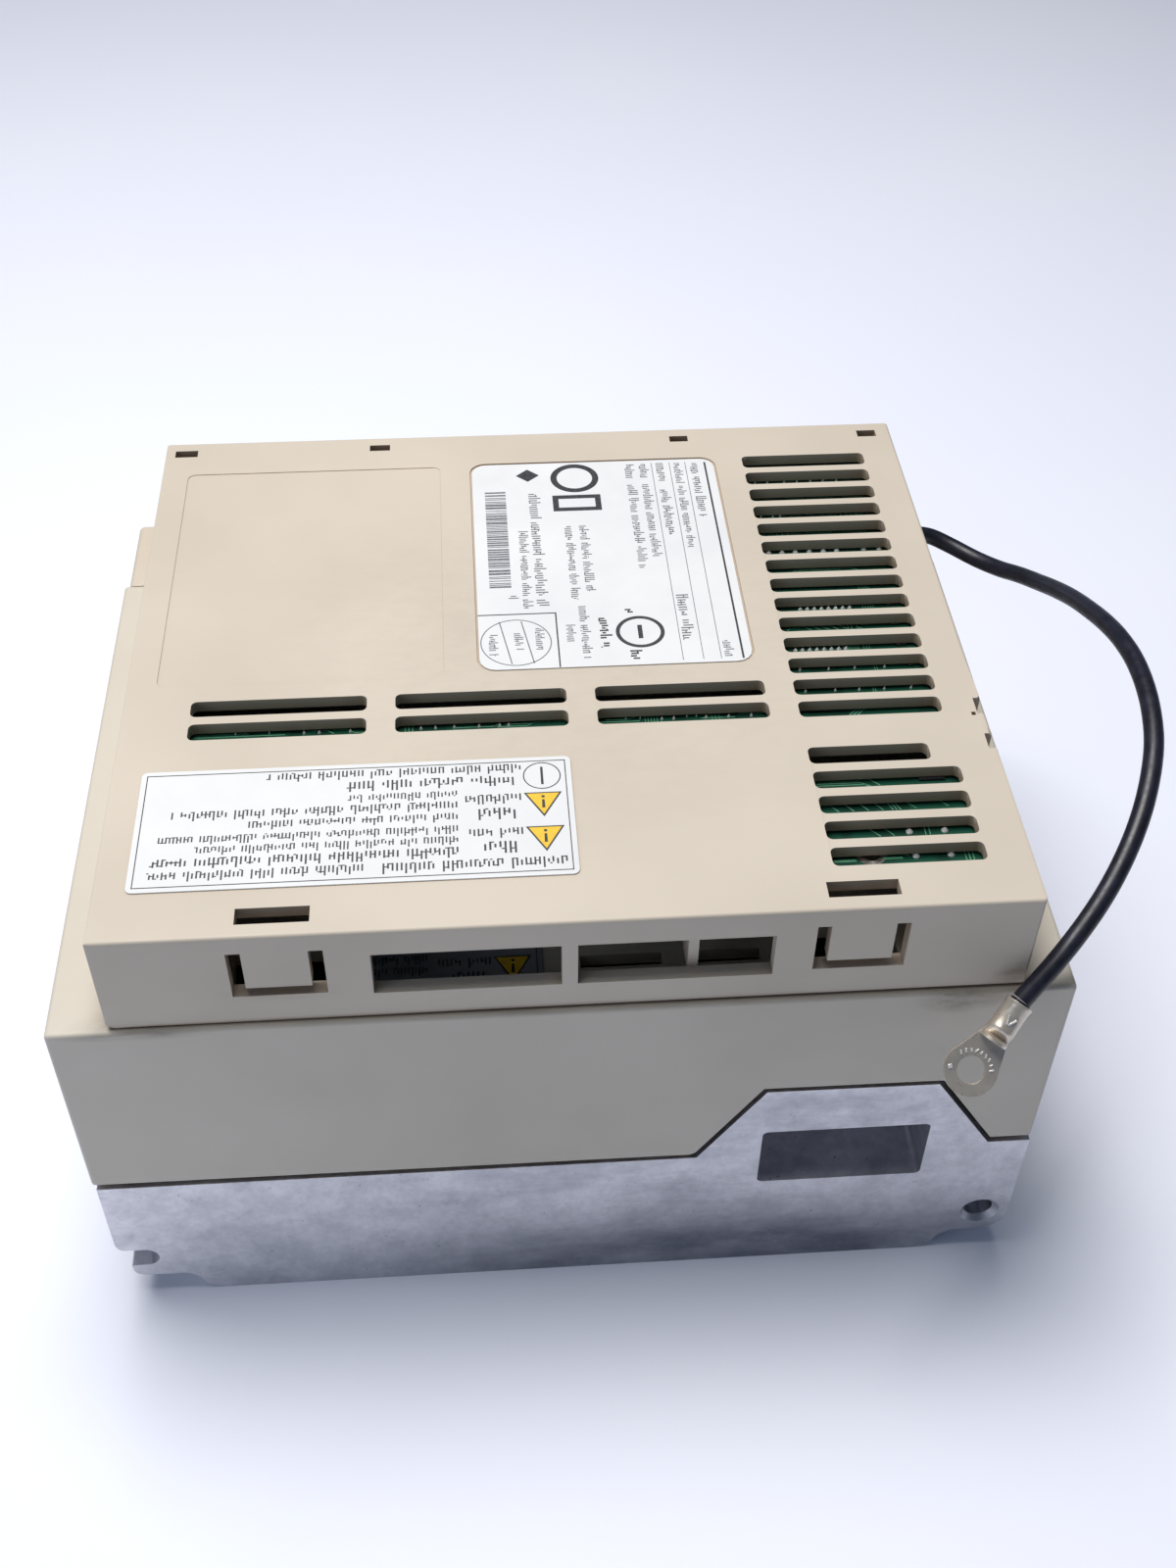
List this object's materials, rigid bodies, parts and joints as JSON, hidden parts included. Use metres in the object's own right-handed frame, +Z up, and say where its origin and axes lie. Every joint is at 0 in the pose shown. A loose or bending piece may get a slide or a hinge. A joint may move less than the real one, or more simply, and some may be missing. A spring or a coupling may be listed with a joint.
{
  "type": "servo drive",
  "caption": "Book-style servo drive in a beige housing on a cast heat-sink base, with a slim vented interface module on its side and a ground wire with a ring terminal.",
  "frame": {"origin": "centre of the footprint, on the surface that the drive lies on, measured without the ground wire", "axes": "+Z up, out of the drive's right side; +X towards the drive's top end; +Y towards its front, so the wall-mounting face looks along -Y"},
  "size_m": [0.1802, 0.1425, 0.1],
  "materials": {
    "cast_aluminium": "as-cast, lightly tumbled",
    "beige_plastic": "fine moulded texture",
    "black_plastic": "moulded",
    "white_plastic": "moulded",
    "green_plastic": "moulded",
    "circuit_board": "green solder mask",
    "display_plastic": "dark red, glossy",
    "smoke_window": "tinted, clear",
    "lamp_red": "diffused",
    "lamp_green": "diffused",
    "capacitor_sleeve": "shrink sleeve",
    "steel_plated": "zinc plated",
    "tin_plated": "tinned copper",
    "label_film": "printed film",
    "wire_jacket": "glossy vinyl"
  },
  "bodies": {
    "drive": {"heatsink_base": "cast_aluminium", "main_housing": "beige_plastic", "front_cover": "beige_plastic", "module_cover": "beige_plastic", "module_base": "beige_plastic", "operator_panel": "black_plastic", "line_connector": "black_plastic", "bus_connector": "black_plastic", "io_connector": "black_plastic", "encoder_connector": "black_plastic", "operator_connector": "black_plastic", "power_module": "black_plastic", "rectifier_bridge": "black_plastic", "inrush_relay": "black_plastic", "bridge_header": "black_plastic", "network_socket_1": "black_plastic", "network_socket_2": "black_plastic", "feedback_socket": "black_plastic", "rotary_body": "black_plastic", "dip_body": "black_plastic", "motor_connector": "green_plastic", "monitor_connector": "white_plastic", "bridge_socket": "white_plastic", "power_board": "circuit_board", "control_board": "circuit_board", "module_board": "circuit_board", "digit_display": "display_plastic", "charge_lamp": "lamp_red", "alarm_lamp": "lamp_red", "run_lamp": "lamp_green", "bus_capacitor_1": "capacitor_sleeve", "bus_capacitor_2": "capacitor_sleeve", "bus_capacitor_3": "capacitor_sleeve", "supply_transformer": "capacitor_sleeve", "earth_plate": "steel_plated", "earth_screw_1": "steel_plated", "earth_screw_2": "steel_plated", "board_spacer_1": "steel_plated", "board_spacer_2": "steel_plated", "board_spacer_3": "steel_plated", "board_spacer_4": "steel_plated", "ring_terminal": "tin_plated", "rating_label": "label_film", "caution_label": "label_film", "housing_label": "label_film", "ground_wire": "wire_jacket", "wire_relief": "wire_jacket"},
    "flap": {"display_flap": "beige_plastic", "flap_window": "smoke_window"},
    "rotor": {"rotary_rotor": "white_plastic"},
    "key_1": {"panel_key_1": "white_plastic"},
    "slider_1": {"dip_slider_1": "white_plastic"},
    "key_2": {"panel_key_2": "white_plastic"},
    "slider_2": {"dip_slider_2": "white_plastic"},
    "key_3": {"panel_key_3": "white_plastic"},
    "slider_3": {"dip_slider_3": "white_plastic"},
    "key_4": {"panel_key_4": "white_plastic"},
    "slider_4": {"dip_slider_4": "white_plastic"}
  },
  "joints": [
    {"name": "flap_hinge", "type": "hinge", "parent": "drive", "child": "flap", "pos_m": [0.0726, 0.0637, 0.038], "axis": [0, 0, -1], "range_deg": [0, 105]},
    {"name": "key_1_press", "type": "slide", "parent": "drive", "child": "key_1", "axis": [0, -1, 0], "range_m": [0, 0.0005], "stiffness_N_per_m": 600, "springref_m": -0.0005},
    {"name": "key_2_press", "type": "slide", "parent": "drive", "child": "key_2", "axis": [0, -1, 0], "range_m": [0, 0.0005], "stiffness_N_per_m": 600, "springref_m": -0.0005},
    {"name": "key_3_press", "type": "slide", "parent": "drive", "child": "key_3", "axis": [0, -1, 0], "range_m": [0, 0.0005], "stiffness_N_per_m": 600, "springref_m": -0.0005},
    {"name": "key_4_press", "type": "slide", "parent": "drive", "child": "key_4", "axis": [0, -1, 0], "range_m": [0, 0.0005], "stiffness_N_per_m": 600, "springref_m": -0.0005},
    {"name": "rotary_turn", "type": "hinge", "parent": "drive", "child": "rotor", "pos_m": [0.052, 0.06, 0.0842], "axis": [0, 1, 0], "continuous": true},
    {"name": "slider_1_throw", "type": "slide", "parent": "drive", "child": "slider_1", "axis": [0, 0, 1], "range_m": [0, 0.0018]},
    {"name": "slider_2_throw", "type": "slide", "parent": "drive", "child": "slider_2", "axis": [0, 0, 1], "range_m": [0, 0.0018]},
    {"name": "slider_3_throw", "type": "slide", "parent": "drive", "child": "slider_3", "axis": [0, 0, 1], "range_m": [0, 0.0018]},
    {"name": "slider_4_throw", "type": "slide", "parent": "drive", "child": "slider_4", "axis": [0, 0, 1], "range_m": [0, 0.0018]}
  ]
}
